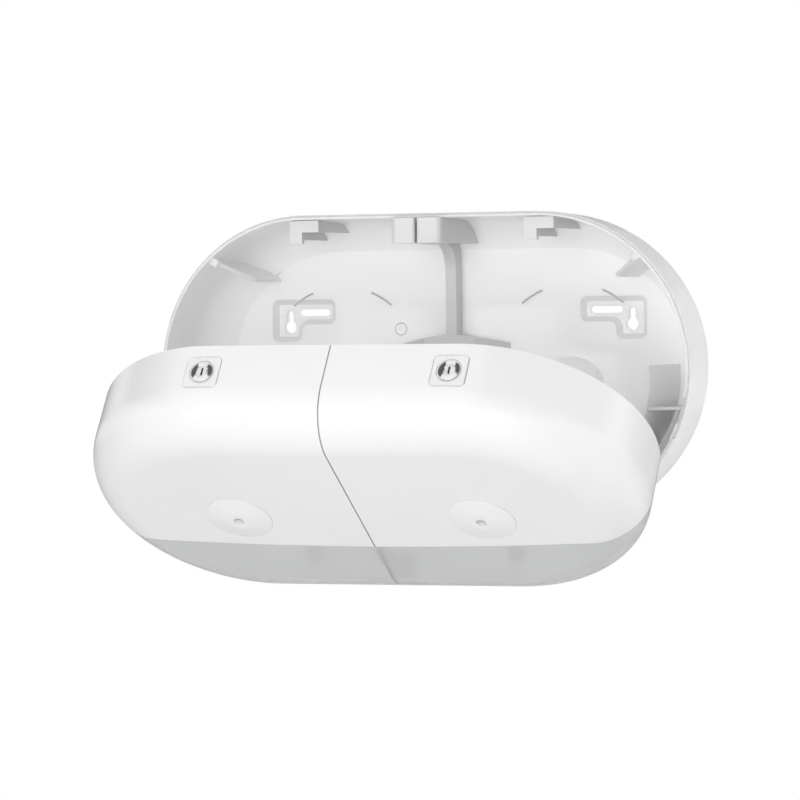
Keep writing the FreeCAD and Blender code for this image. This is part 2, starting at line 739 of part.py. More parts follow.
def cut_along_window_line(body, lowest, far_side):
    """Takes away all that lies on the far side of the shallow arc between cover and window."""
    cut = sketch_on(body, "XZ_Plane", offset="depth + overrun")
    reach = "(width / 2 + overrun)"
    centre = f"({lowest} + window_arc_radius)"
    end_up = f"({centre} - sqrt(window_arc_radius ^ 2 - {reach} ^ 2))"
    left_end = Vector(size(f"-{reach}"), size(end_up), 0)
    right_end = Vector(size(reach), size(end_up), 0)
    arc = cut.addGeometry(Part.Arc(left_end, Vector(0, size(lowest), 0), right_end))
    tie(cut, arc, 3, "0", centre)
    drive(cut, Sketcher.Constraint("Radius", arc, size("window_arc_radius")), "window_arc_radius")
    tie(cut, arc, 1, across=f"-{reach}")
    tie(cut, arc, 2, across=reach)
    far_right = Vector(size(reach), size(far_side), 0)
    far_left = Vector(size(f"-{reach}"), size(far_side), 0)
    lines = [cut.addGeometry(Part.LineSegment(start, end)) for start, end in
             ((right_end, far_right), (far_right, far_left), (far_left, left_end))]
    loop = [arc, *lines]
    for edge, following in zip(loop, lines):
        cut.addConstraint(Sketcher.Constraint("Coincident", edge, 2, following, 1))
    cut.addConstraint(Sketcher.Constraint("Coincident", lines[-1], 2, arc, 1))
    tie(cut, lines[0], 2, reach, far_side)
    tie(cut, lines[1], 2, f"-{reach}", far_side)
    pocket(body, cut, "depth - rear_depth + 2 * overrun")


def make_front_cover():
    """White upper shell with the middle groove and the holes for locks and outlets."""
    body = new_body("front_cover")
    cover_dish(body)
    cut_along_window_line(body, "-window_drop", f"-({END_RADIUS} + overrun)")
    groove = sketch_on(body, "YZ_Plane")
    outline(groove, [
        ("-(rear_depth - overrun)", f"{END_RADIUS} + overrun"),
        ("-(depth + overrun)", f"{END_RADIUS} + overrun"),
        ("-(depth + overrun)", "-(window_drop + overrun)"),
        ("-(depth - groove_depth)", "-(window_drop + overrun)"),
        ("-(depth - groove_depth)", f"{END_RADIUS} - groove_depth", "front_radius - groove_depth"),
        ("-(rear_depth - overrun)", f"{END_RADIUS} - groove_depth"),
    ])
    pocket(body, groove, "groove_width", symmetric=True)
    for sign in SIDES.values():
        lock = lock_sketch(body, sign, f"{END_RADIUS} + overrun")
        rounded_square(lock, "(bezel_size / 2 + bezel_fit)", "(bezel_corner + bezel_fit)")
        pocket(body, lock, "bezel_drop + overrun")
        outlet = sketch_on(body, "XZ_Plane", offset="depth + overrun")
        circle(outlet, f"{sign} * {ROLL_ACROSS}", "0", "(stem_radius + stem_fit)")
        pocket(body, outlet, "cover_wall + 2 * overrun")
    return [body]


def make_lower_window():
    """Smoke-grey lower shell, bevelled behind the hinge line so that it lands on the rim."""
    body = new_body("lower_window")
    cover_dish(body)
    cut_along_window_line(body, "-(window_drop + window_gap)", f"{END_RADIUS} + overrun")
    corner = "(parting_gap / cos(open_angle * 1 deg))"
    below = f"({END_RADIUS} + overrun)"
    bevel = sketch_on(body, "YZ_Plane")
    outline(bevel, [
        ("-(rear_depth - overrun)", "-hinge_drop"),
        (f"-(rear_depth + {corner})", "-hinge_drop"),
        (f"-(rear_depth + {corner} + ({below} - hinge_drop) * tan(open_angle * 1 deg))", f"-{below}"),
        ("-(rear_depth - overrun)", f"-{below}"),
    ])
    pocket(body, bevel, "width", symmetric=True)
    barrel_half = "(arm_width / 2 + 2 * side_room + knuckle_width)"
    for ring in hinge_stations(body, "(knuckle_radius + knuckle_room)", (barrel_half,)):
        pocket(body, ring, f"2 * {barrel_half}")
    rib = sketch_on(body, "YZ_Plane")
    outline(rib, [
        (f"-({FRONT_INSIDE} + cover_wall / 2)", "-(window_drop + rib_top)"),
        (f"-({FRONT_INSIDE} + cover_wall / 2)", f"-({COVER_INSIDE} + cover_wall / 2)",
         "front_radius - cover_wall / 2"),
        (f"-({FRONT_INSIDE} - rib_reach)", f"-({COVER_INSIDE} + cover_wall / 2)"),
    ])
    pad(body, rib, "rib_thickness", symmetric=True)
    for across, along in arm_screw_places():
        hole = sketch_on(body, "XY_Plane", offset=f"-{COVER_INSIDE}", across=across, up=along)
        circle(hole, "0", "0", "(arm_screw_radius + seat_gap)")
        pocket(body, hole, "arm_screw_bite + seat_gap")
    return [body]


def arm_screw_places():
    """Across and along, the middle of each screw that holds a hinge arm on the window."""
    eye_end = "(knuckle_radius + arm_plate)"
    for sign in SIDES.values():
        for step in ("arm_screw_back_share", "arm_screw_front_share"):
            yield f"{sign} * {HINGE_ACROSS}", f"-(rear_depth + {eye_end} + {step} * ({ARM_LENGTH} - {eye_end}))"


def make_hinge_arms():
    """Channels on the window's floor that end in an eye around the hinge pin."""
    made = []
    for side, sign in SIDES.items():
        body = new_body(f"hinge_arm_{side}")
        floor = f"(-{COVER_INSIDE})"
        web = sketch_on(body, "YZ_Plane", offset=f"{sign} * {HINGE_ACROSS}")
        outline(web, [
            ("-rear_depth", floor),
            (f"-(rear_depth + {ARM_LENGTH})", floor),
            (f"-(rear_depth + {ARM_LENGTH})", f"{floor} + arm_toe"),
            (f"-(rear_depth + {ARM_LENGTH} - arm_slope)", f"{floor} + arm_rise"),
            ("-rear_depth", "-hinge_drop + knuckle_radius"),
        ])
        pad(body, web, "arm_width", symmetric=True)
        eye = sketch_on(body, "YZ_Plane", offset=f"{sign} * {HINGE_ACROSS}")
        circle(eye, "-rear_depth", "-hinge_drop", "knuckle_radius")
        pad(body, eye, "arm_width", symmetric=True)
        channel = sketch_on(body, "XY_Plane", offset=f"{floor} + arm_rise + overrun",
                            across=f"{sign} * {HINGE_ACROSS}")
        rectangle(channel, "-(arm_width / 2 - arm_plate)", "arm_width / 2 - arm_plate",
                  f"-(rear_depth + {ARM_LENGTH} + overrun)", "-(rear_depth + knuckle_radius + arm_plate)")
        pocket(body, channel, "arm_rise + overrun - arm_plate")
        bore = sketch_on(body, "YZ_Plane", offset=f"{sign} * {HINGE_ACROSS}")
        circle(bore, "-rear_depth", "-hinge_drop", "(pin_radius + pin_fit)")
        pocket(body, bore, "arm_width + overrun", symmetric=True)
        for across, along in arm_screw_places():
            if across.startswith(f"{sign} "):
                hole = sketch_on(body, "XY_Plane", offset=f"{floor} + arm_plate + overrun", across=across, up=along)
                circle(hole, "0", "0", "(arm_screw_radius + seat_gap)")
                pocket(body, hole, "arm_plate + 2 * overrun")
        made.append(body)
    return made


def make_hinge_arm_screws():
    """Pan-head screws through the floor of each arm into the window, one group."""
    floor = f"(-{COVER_INSIDE})"
    cylinders = []
    for across, along in arm_screw_places():
        shapes = (
            ("arm_screw_head", "arm_screw_head_height", f"{floor} + arm_plate"),
            ("arm_screw_radius", "arm_screw_bite + arm_plate", f"{floor} - arm_screw_bite"),
        )
        for radius, height, low in shapes:
            rod = doc.addObject("Part::Cylinder", "screw_rod")
            rod.setExpression("Radius", sized(radius))
            rod.setExpression("Height", sized(height))
            for direction, text in zip("xyz", (across, along, low)):
                rod.setExpression(f"Placement.Base.{direction}", sized(text))
            cylinders.append(rod)
    group = doc.addObject("Part::MultiFuse", "hinge_arm_screws")
    group.Label = "hinge_arm_screws"
    group.Shapes = cylinders
    return [group]


def make_nozzles():
    """Domed outlet discs on the cover's front, each with a hollow stem through the wall."""
    made = []
    for side, sign in SIDES.items():
        body = new_body(f"nozzle_{side}")
        section = sketch_on(body, "YZ_Plane", offset=f"{sign} * {ROLL_ACROSS}")
        outline(section, [
            ("-(depth + nozzle_rise)", "outlet_radius"),
            ("-(depth + nozzle_rise)", "nozzle_flat", "nozzle_crown_radius"),
            ("-(depth + nozzle_edge)", "nozzle_radius"),
            ("-depth", "nozzle_radius"),
            ("-depth", "stem_radius"),
            ("-(depth - stem_length)", "stem_radius"),
            ("-(depth - stem_length)", "stem_radius - stem_wall"),
            ("-(depth - nozzle_floor)", "stem_radius - stem_wall"),
            ("-(depth - nozzle_floor)", "outlet_radius"),
        ])
        revolve(body, section, "H_Axis")
        made.append(body)
    return made


def guide_outside(depth):
    """Outer radius of the guide's cone at a distance behind the cover's front."""
    slope = "((guide_mouth - guide_throat) / (guide_depth - guide_tip))"
    return f"guide_throat + guide_wall + {slope} * ({depth} - guide_tip)"


def make_nozzle_guides():
    """Funnels that lead the paper from the middle of the roll into the outlet."""
    made = []
    flange_back = "(stem_length + guide_flange)"
    for side, sign in SIDES.items():
        body = new_body(f"nozzle_guide_{side}")
        section = sketch_on(body, "YZ_Plane", offset=f"{sign} * {ROLL_ACROSS}")
        outline(section, [
            ("-(depth - guide_tip)", "guide_throat"),
            ("-(depth - guide_tip)", "guide_throat + guide_wall"),
            ("-(depth - stem_length)", guide_outside("stem_length")),
            ("-(depth - stem_length)", "stem_radius"),
            (f"-(depth - {flange_back})", "stem_radius"),
            (f"-(depth - {flange_back})", guide_outside(flange_back)),
            ("-(depth - guide_depth)", "guide_mouth + guide_wall"),
            ("-(depth - guide_depth)", "guide_mouth"),
        ])
        revolve(body, section, "H_Axis")
        made.append(body)
    return made


def lock_sketch(body, sign, height):
    """A level sketch centred on the axis of one lock."""
    return sketch_on(body, "XY_Plane", offset=height, across=f"{sign} * {ROLL_ACROSS}", up=f"-{LOCK_DEPTH}")


def lock_section(body, sign):
    """An upright sketch through the axis of one lock."""
    return sketch_on(body, "XZ_Plane", offset=LOCK_DEPTH, across=f"{sign} * {ROLL_ACROSS}")


def rounded_square(sketch, half, corner):
    outline(sketch, [
        (f"-{half}", f"-{half}", corner),
        (half, f"-{half}", corner),
        (half, half, corner),
        (f"-{half}", half, corner),
    ])


def make_lock_bezels():
    """Rounded square plugs in the cover's top wall that carry the lock barrels."""
    made = []
    for side, sign in SIDES.items():
        body = new_body(f"lock_bezel_{side}")
        block = lock_sketch(body, sign, BEZEL_UNDER)
        rounded_square(block, "(bezel_size / 2)", "bezel_corner")
        pad(body, block, "bezel_drop + bezel_proud")
        doc.recompute()
        top = size(BEZEL_TOP)
        rim = [f"Edge{number}" for number, edge in enumerate(body.Shape.Edges, start=1)
               if abs(edge.BoundBox.ZMin - top) < size("seat_gap")]
        round_edges(body, rim, "bezel_edge")
        recess = lock_sketch(body, sign, f"{BEZEL_TOP} + overrun")
        circle(recess, "0", "0", "recess_radius")
        pocket(body, recess, "recess_depth + overrun")
        bore = lock_sketch(body, sign, f"{BEZEL_TOP} + overrun")
        circle(bore, "0", "0", "(barrel_radius + barrel_fit)")
        pocket(body, bore, "bezel_drop + bezel_proud + 2 * overrun")
        made.append(body)
    return made


def make_lock_barrels():
    made = []
    head_top = f"({RECESS_FLOOR} + barrel_head_height)"
    for side, sign in SIDES.items():
        body = new_body(f"lock_barrel_{side}")
        section = lock_section(body, sign)
        outline(section, [
            ("plug_radius + plug_fit", BARREL_UNDER),
            ("barrel_radius", BARREL_UNDER),
            ("barrel_radius", RECESS_FLOOR),
            ("barrel_head_radius", RECESS_FLOOR),
            ("barrel_head_radius", head_top, "barrel_head_edge"),
            ("plug_radius + plug_fit", head_top),
        ])
        revolve(body, section, "V_Axis")
        made.append(body)
    return made


def make_barrel_nuts():
    """Hexagon nuts that clamp each barrel from inside the cover."""
    made = []
    corner = "(nut_flats / sqrt(3))"
    for side, sign in SIDES.items():
        body = new_body(f"barrel_nut_{side}")
        hexagon = lock_sketch(body, sign, f"{BEZEL_UNDER} - nut_thickness")
        outline(hexagon, [(f"{corner} * cos({turn} deg)", f"{corner} * sin({turn} deg)")
                          for turn in range(0, 360, 60)])
        circle(hexagon, "0", "0", "(barrel_radius + barrel_fit)")
        pad(body, hexagon, "nut_thickness")
        made.append(body)
    return made


def make_lock_plugs():
    """Key plugs that turn in the barrels, with a square tail for the cam."""
    made = []
    for side, sign in SIDES.items():
        body = new_body(f"lock_plug_{side}")
        core = lock_sketch(body, sign, BARREL_UNDER)
        circle(core, "0", "0", "plug_radius")
        pad(body, core, "barrel_length + barrel_head_height - plug_recess")
        tail = lock_sketch(body, sign, CAM_UNDER)
        rectangle(tail, "-tail_size / 2", "tail_size / 2", "-tail_size / 2", "tail_size / 2")
        pad(body, tail, TAIL_LENGTH)
        key = lock_sketch(body, sign, f"{RECESS_FLOOR} + barrel_head_height + overrun")
        rectangle(key, "-key_slot_width / 2", "key_slot_width / 2", "-key_slot_length / 2", "key_slot_length / 2")
        pocket(body, key, "overrun + plug_recess + key_slot_depth")
        hole = lock_sketch(body, sign, f"{CAM_UNDER} - overrun")
        circle(hole, "0", "0", "(cam_screw_radius + seat_gap)")
        pocket(body, hole, "overrun + cam_screw_bite + seat_gap").Reversed = True
        made.append(body)
    return made


def make_lock_cams():
    """Hooked cams that stand along the cover when unlocked and reach behind a keeper when turned."""
    made = []
    finger_end = "(cam_arm_offset + cam_finger_length)"
    for side, sign in SIDES.items():
        body = new_body(f"lock_cam_{side}")
        plate = lock_sketch(body, sign, CAM_UNDER)
        outline(plate, [
            ("-cam_hub", "-cam_hub", "cam_corner"),
            ("cam_reach", "-(cam_arm_width - cam_arm_offset)", "cam_tip_corner"),
            ("cam_reach", finger_end, "cam_tip_corner"),
            ("cam_reach - cam_finger_width", finger_end, "cam_tip_corner"),
            ("cam_reach - cam_finger_width", "cam_arm_offset"),
            ("cam_hub + cam_corner", "cam_arm_offset"),
            ("cam_hub", "cam_hub", "cam_corner"),
            ("-cam_hub", "cam_hub", "cam_corner"),
        ])
        hole_half = "(tail_size / 2 + tail_fit)"
        rectangle(plate, f"-{hole_half}", hole_half, f"-{hole_half}", hole_half)
        pad(body, plate, "cam_thickness")
        made.append(body)
    return made


def make_cam_screws():
    made = []
    for side, sign in SIDES.items():
        body = new_body(f"cam_screw_{side}")
        section = lock_section(body, sign)
        outline(section, [
            ("0", f"{CAM_UNDER} - cam_screw_head_height"),
            ("cam_screw_head", f"{CAM_UNDER} - cam_screw_head_height"),
            ("cam_screw_head", CAM_UNDER),
            ("cam_screw_radius", CAM_UNDER),
            ("cam_screw_radius", f"{CAM_UNDER} + cam_screw_bite"),
            ("0", f"{CAM_UNDER} + cam_screw_bite"),
        ])
        revolve(body, section, "V_Axis")
        made.append(body)
    return made


FIXED_MAKERS = (make_rear_housing, make_roll_divider, make_latch_keepers, make_hinge_pins)
SWUNG_MAKERS = (
    make_front_cover, make_lower_window, make_hinge_arms, make_hinge_arm_screws,
    make_nozzles, make_nozzle_guides, make_lock_bezels, make_lock_barrels, make_barrel_nuts,
    make_lock_plugs, make_lock_cams, make_cam_screws,
)
fixed_pieces = [piece for maker in FIXED_MAKERS for piece in maker()]
swung_pieces = [piece for maker in SWUNG_MAKERS for piece in maker()]

# The cover and all that it carries hang open from the hinge line.
swing = "placement(vector(0; 0; 0); rotation(vector(1; 0; 0); open_angle); vector(0; -rear_depth; -hinge_drop))"
for piece in swung_pieces:
    piece.setExpression("Placement", sized(swing))
doc.recompute()

failed = [item.Label for item in doc.Objects if "Invalid" in item.State or "Error" in item.State]
if failed:
    raise RuntimeError(f"not built: {failed}")
for piece in fixed_pieces + swung_pieces:
    if piece.Shape.isNull() or not piece.Shape.isValid():
        raise RuntimeError(f"bad shape: {piece.Label}")

os.makedirs("parts", exist_ok=True)
for piece in fixed_pieces + swung_pieces:
    piece.Shape.exportStep(f"parts/{piece.Label}.step")
    print(f"{piece.Label}: {len(piece.Shape.Solids)} solid, {piece.Shape.Volume:.1f} mm3")
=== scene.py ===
# %% [markdown]
# # A twin toilet paper dispenser, open on its wall
#
# The solids of the dispenser come ready-made in one fixed frame: metres, Z up, Y into the wall,
# the origin in the middle of the back face. This lesson only gives them their looks. It keeps the
# box of the solids from the start, so that the dressed model can be compared with it at the end.

# %% Load the solids
import json
import math

import bpy
from mathutils import Matrix, Vector


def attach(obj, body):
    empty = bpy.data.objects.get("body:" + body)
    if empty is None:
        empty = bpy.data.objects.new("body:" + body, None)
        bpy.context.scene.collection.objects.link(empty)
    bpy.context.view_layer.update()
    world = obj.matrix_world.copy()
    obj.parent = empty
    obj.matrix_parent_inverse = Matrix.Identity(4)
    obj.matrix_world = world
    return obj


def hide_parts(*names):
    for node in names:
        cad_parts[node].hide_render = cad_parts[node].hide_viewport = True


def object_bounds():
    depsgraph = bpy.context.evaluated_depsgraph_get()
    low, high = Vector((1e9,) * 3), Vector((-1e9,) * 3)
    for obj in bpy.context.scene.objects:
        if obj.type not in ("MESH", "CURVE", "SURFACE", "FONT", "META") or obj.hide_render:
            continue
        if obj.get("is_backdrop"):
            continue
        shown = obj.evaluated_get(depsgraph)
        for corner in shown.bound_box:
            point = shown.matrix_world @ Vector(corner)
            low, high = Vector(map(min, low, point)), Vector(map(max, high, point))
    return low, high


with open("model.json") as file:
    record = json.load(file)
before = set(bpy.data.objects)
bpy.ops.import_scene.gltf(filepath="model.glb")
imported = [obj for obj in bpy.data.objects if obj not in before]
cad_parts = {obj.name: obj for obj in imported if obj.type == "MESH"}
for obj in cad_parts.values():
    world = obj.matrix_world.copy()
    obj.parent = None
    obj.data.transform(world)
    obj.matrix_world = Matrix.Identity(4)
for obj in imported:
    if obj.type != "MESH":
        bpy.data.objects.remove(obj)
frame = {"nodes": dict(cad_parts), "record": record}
solid_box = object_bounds()

# %% [markdown]
# ## The camera
#
# The picture was taken from about three metres with a long lens, twenty degrees from the right and
# hardly above the middle. A long lens keeps the far housing nearly as large as the near cover.
# The camera is built from three directions: where it looks, its right and its up. That is plainer
# than Euler angles when the picture is also tilted by a fraction of a degree.

# %% Camera
AZIMUTH = 0.347
ELEVATION = 0.0152
TILT = -0.012
DISTANCE = 3.037
LENS_PIXELS = 4270
PICTURE_SIZE = 800
LOOKED_AT = Vector((0, -0.080, 0))
LOOKED_AT_PIXEL = Vector((424.6, 368.7))

towards = Vector((math.sin(AZIMUTH) * math.cos(ELEVATION), -math.cos(AZIMUTH) * math.cos(ELEVATION),
                  math.sin(ELEVATION)))
ahead = -towards
right = ahead.cross(Vector((0, 0, 1))).normalized()
upward = right.cross(ahead)
right, upward = (math.cos(TILT) * right + math.sin(TILT) * upward,
                 math.cos(TILT) * upward - math.sin(TILT) * right)
off_centre = Vector((PICTURE_SIZE / 2, PICTURE_SIZE / 2)) - LOOKED_AT_PIXEL
ahead = (ahead + right * off_centre.x / LENS_PIXELS - upward * off_centre.y / LENS_PIXELS).normalized()
right = (right - ahead * right.dot(ahead)).normalized()
upward = right.cross(ahead)

lens = bpy.data.cameras.new("studio_camera")
lens.sensor_width = 36
lens.lens = LENS_PIXELS / PICTURE_SIZE * lens.sensor_width
camera = bpy.data.objects.new("studio_camera", lens)
bpy.context.scene.collection.objects.link(camera)
turn = Matrix((right, upward, -ahead)).transposed().to_4x4()
camera.matrix_world = Matrix.Translation(LOOKED_AT + towards * DISTANCE) @ turn
bpy.context.scene.camera = camera
print("camera at", [round(v, 3) for v in camera.location], "lens", round(lens.lens, 1), "mm")

# %% [markdown]
# ## Shared effects
#
# Injection-moulded plastic is never perfectly even. It has a faint unevenness where the melt flowed,
# a very fine skin texture, and soft marks where hands have polished it. All white parts share these,
# so they are one node group with its own strength in each material. Metal gets a second group, with
# fine lines along one direction, as drawing or rolling leaves them.

# %% Node helpers
def new_group(name, inputs, outputs):
    group = bpy.data.node_groups.new(name, "ShaderNodeTree")
    for label, kind, default in inputs:
        socket = group.interface.new_socket(name=label, in_out="INPUT", socket_type=kind)
        if default is not None:
            socket.default_value = default
    for label in outputs:
        group.interface.new_socket(name=label, in_out="OUTPUT", socket_type="NodeSocketFloat")
    return group, group.nodes.new("NodeGroupInput"), group.nodes.new("NodeGroupOutput")


def noise(tree, vector, scale, detail, roughness=0.5):
    """Cloudy noise from 0 to 1. The scale is a number or a socket."""
    node = tree.nodes.new("ShaderNodeTexNoise")
    node.inputs["Detail"].default_value = detail
    node.inputs["Roughness"].default_value = roughness
    tree.links.new(vector, node.inputs["Vector"])
    if isinstance(scale, (int, float)):
        node.inputs["Scale"].default_value = scale
    else:
        tree.links.new(scale, node.inputs["Scale"])
    return node.outputs["Fac"]


def math_node(tree, operation, first, second):
    """One sum, of numbers or sockets."""
    node = tree.nodes.new("ShaderNodeMath")
    node.operation = operation
    for socket, value in zip(node.inputs, (first, second)):
        if isinstance(value, (int, float)):
            socket.default_value = value
        else:
            tree.links.new(value, socket)
    return node.outputs[0]


def spread(tree, value, low, high, out_low=0.0, out_high=1.0):
    """Stretches a range of values to another, with soft ends."""
    node = tree.nodes.new("ShaderNodeMapRange")
    node.interpolation_type = "SMOOTHSTEP"
    for label, number in (("From Min", low), ("From Max", high), ("To Min", out_low), ("To Max", out_high)):
        node.inputs[label].default_value = number
    tree.links.new(value, node.inputs["Value"])
    return node.outputs["Result"]


# %% Moulded skin
SMUDGE_SCALE = 34
PEEL_SCALE = 900
PEEL_SHARE = 0.35
WAVE_SCALE = 60

moulded_skin, skin_in, skin_out = new_group(
    "moulded_skin",
    [("Position", "NodeSocketVector", None), ("Flow Scale", "NodeSocketFloat", 9.0)],
    ["Flow", "Handling", "Skin Height"])
flow = noise(moulded_skin, skin_in.outputs["Position"], skin_in.outputs["Flow Scale"], 3)
moulded_skin.links.new(spread(moulded_skin, flow, 0.3, 0.7), skin_out.inputs["Flow"])
smudges = noise(moulded_skin, skin_in.outputs["Position"], SMUDGE_SCALE, 5, 0.62)
moulded_skin.links.new(spread(moulded_skin, smudges, 0.46, 0.72), skin_out.inputs["Handling"])
peel = noise(moulded_skin, skin_in.outputs["Position"], PEEL_SCALE, 2)
wave = noise(moulded_skin, skin_in.outputs["Position"], WAVE_SCALE, 1)
moulded_skin.links.new(
    math_node(moulded_skin, "ADD", math_node(moulded_skin, "MULTIPLY", peel, PEEL_SHARE), wave),
    skin_out.inputs["Skin Height"])

# %% Drawn metal
STAIN_SCALE = 220

drawn_metal, metal_in, metal_out = new_group(
    "drawn_metal",
    [("Position", "NodeSocketVector", None), ("Line Scale", "NodeSocketVector", None)],
    ["Lines", "Stain"])
stretch = drawn_metal.nodes.new("ShaderNodeVectorMath")
stretch.operation = "MULTIPLY"
drawn_metal.links.new(metal_in.outputs["Position"], stretch.inputs[0])
drawn_metal.links.new(metal_in.outputs["Line Scale"], stretch.inputs[1])
lines = noise(drawn_metal, stretch.outputs["Vector"], 1.0, 4, 0.6)
drawn_metal.links.new(spread(drawn_metal, lines, 0.3, 0.7), metal_out.inputs["Lines"])
stain = noise(drawn_metal, metal_in.outputs["Position"], STAIN_SCALE, 4)
drawn_metal.links.new(spread(drawn_metal, stain, 0.42, 0.7), metal_out.inputs["Stain"])
print("shared effects:", moulded_skin.name, drawn_metal.name)

# %% [markdown]
# ## White and grey plastics
#
# Each plastic is the same recipe with other values: two close tones that the flow marks mix, two
# roughnesses that the handling marks mix, and a faint bump from the skin. An attribute paints shade:
# it darkens the faces that a later step notes, in gaps and on slopes. What is the same all over,
# such as the index of refraction, is set on the shader itself.

# %% Material helpers
FINISHES = {}


def new_material(name):
    """A new material, its node tree and its shader, kept under the name of its slot."""
    material = bpy.data.materials.new(f"{name}_finish")
    material.use_nodes = True
    FINISHES[name] = material
    return material, material.node_tree, material.node_tree.nodes["Principled BSDF"]


def place_group(tree, group, values):
    """A shared effect, laid out by where the point is on the object."""
    node = tree.nodes.new("ShaderNodeGroup")
    node.node_tree = group
    place = tree.nodes.new("ShaderNodeTexCoord")
    tree.links.new(place.outputs["Object"], node.inputs["Position"])
    for label, value in values.items():
        node.inputs[label].default_value = value
    return node


def mix_colours(tree, mask, first, second):
    node = tree.nodes.new("ShaderNodeMix")
    node.data_type = "RGBA"
    for label, colour in (("A", first), ("B", second)):
        socket = next(s for s in node.inputs if s.name == label and s.type == "RGBA")
        if isinstance(colour, tuple):
            socket.default_value = (*colour, 1)
        else:
            tree.links.new(colour, socket)
    tree.links.new(mask, node.inputs["Factor"])
    return next(s for s in node.outputs if s.type == "RGBA")


def bump(tree, height, strength, distance):
    node = tree.nodes.new("ShaderNodeBump")
    node.inputs["Strength"].default_value = strength
    node.inputs["Distance"].default_value = distance
    tree.links.new(height, node.inputs["Height"])
    return node.outputs["Normal"]


# %% Plastic recipe
# The grey that painted shade mixes towards, in gaps, grooves and on slopes.
PAINTED_SHADE_GREY = (0.34, 0.34, 0.345)
SKIN_DEPTH = 0.0002
PLASTIC_IOR = 1.53


def plastic(name, light, dark, smooth, rubbed, skin=0.06, flow_scale=9.0):
    """Makes one plastic and gives back its shader."""
    _, tree, shader = new_material(name)
    skin_node = place_group(tree, moulded_skin, {"Flow Scale": flow_scale})
    # Faces noted in the attribute get painted shade: their tone is mixed towards a grey.
    painted_shade = tree.nodes.new("ShaderNodeAttribute")
    painted_shade.attribute_name = "painted_shade"
    tone = mix_colours(tree, skin_node.outputs["Flow"], light, dark)
    tree.links.new(mix_colours(tree, painted_shade.outputs["Fac"], tone, PAINTED_SHADE_GREY), shader.inputs["Base Color"])
    gloss = spread(tree, skin_node.outputs["Handling"], 0, 1, smooth, rubbed)
    tree.links.new(gloss, shader.inputs["Roughness"])
    tree.links.new(bump(tree, skin_node.outputs["Skin Height"], skin, SKIN_DEPTH), shader.inputs["Normal"])
    shader.inputs["IOR"].default_value = PLASTIC_IOR
    return shader


# %% [markdown]
# Two of the plastics let light through. The housing is thin white plastic that glows a little when
# light falls on its far side, so it scatters light below its surface. The window is a smoky grey
# that is partly clear.

# %% Plastics
housing = plastic("housing_white", (0.95, 0.95, 0.95), (0.935, 0.935, 0.94), 0.28, 0.38)
housing.inputs["Subsurface Weight"].default_value = 0.8
housing.inputs["Subsurface Radius"].default_value = (1, 1, 1)
housing.inputs["Subsurface Scale"].default_value = 0.012
window = plastic("window_smoke", (0.8, 0.805, 0.81), (0.775, 0.78, 0.785), 0.1, 0.18, skin=0.03)
window.inputs["Transmission Weight"].default_value = 0.55
plastic("divider_white", (0.7, 0.7, 0.7), (0.68, 0.68, 0.685), 0.3, 0.4)
plastic("cover_white", (0.79, 0.79, 0.79), (0.775, 0.775, 0.78), 0.16, 0.26, skin=0.04)
plastic("nozzle_white", (0.795, 0.795, 0.795), (0.78, 0.78, 0.785), 0.18, 0.28, flow_scale=24)
plastic("bezel_white", (0.76, 0.76, 0.76), (0.73, 0.73, 0.735), 0.2, 0.3, flow_scale=30)
plastic("guide_white", (0.78, 0.78, 0.78), (0.74, 0.74, 0.745), 0.34, 0.46, skin=0.12, flow_scale=30)
plastic("arm_grey", (0.5, 0.5, 0.505), (0.45, 0.45, 0.455), 0.36, 0.5, skin=0.15, flow_scale=40)
print("plastics:", sorted(FINISHES))

# %% [markdown]
# ## Metals
#
# The locks are bright chrome, the rest is zinc-plated or drawn steel. Chrome only shows what it
# reflects, so its own detail is slight: fine turning lines, a few finger marks and a shallow dish
# turned into the lock's face, which bends what it mirrors. The steel is rougher, with lines along
# its length and darker blots in the zinc.

# %% Where the locks are
LOCK_PROUD = 0.014
KEY = next(joint for joint in frame["record"]["behaviour"]["joints"] if joint["name"] == "right_key_turn")
LOCK = Vector(KEY["pos_m"])
LOCK_AXIS = Vector(KEY["axis"])
LOCK_DOWN = LOCK_AXIS.cross(Vector((1, 0, 0)))
LOCK_FACE = LOCK + LOCK_AXIS * LOCK_PROUD
print("lock faces at x = +-", round(LOCK_FACE.x, 4))

# %% Metal recipe
DISH_RADIUS = 0.008
DISH_DEPTH = 0.002
LINE_DEPTH = 0.00005


def dish(tree):
    """Height of a hollow turned around the lock's axis, the same on both sides."""
    place = tree.nodes.new("ShaderNodeTexCoord")
    apart = tree.nodes.new("ShaderNodeSeparateXYZ")
    folded = tree.nodes.new("ShaderNodeCombineXYZ")
    tree.links.new(place.outputs["Object"], apart.inputs[0])
    tree.links.new(math_node(tree, "ABSOLUTE", apart.outputs["X"], 0), folded.inputs["X"])
    for axis in "YZ":
        tree.links.new(apart.outputs[axis], folded.inputs[axis])
    away = tree.nodes.new("ShaderNodeVectorMath")
    away.operation = "DISTANCE"
    away.inputs[1].default_value = LOCK_FACE
    tree.links.new(folded.outputs["Vector"], away.inputs[0])
    return math_node(tree, "POWER", math_node(tree, "MULTIPLY", away.outputs["Value"], 1 / DISH_RADIUS), 2)


def metal(name, light, dark, smooth, rough, line_scale, strength=0.1, dished=False):
    _, tree, shader = new_material(name)
    lines_node = place_group(tree, drawn_metal, {"Line Scale": line_scale})
    tree.links.new(mix_colours(tree, lines_node.outputs["Stain"], light, dark), shader.inputs["Base Color"])
    tree.links.new(spread(tree, lines_node.outputs["Lines"], 0, 1, smooth, rough), shader.inputs["Roughness"])
    fine = bump(tree, lines_node.outputs["Lines"], strength, LINE_DEPTH)
    if dished:
        tree.links.new(bump(tree, dish(tree), 1.0, DISH_DEPTH), fine.node.inputs["Normal"])
    tree.links.new(fine, shader.inputs["Normal"])
    shader.inputs["Metallic"].default_value = 1.0


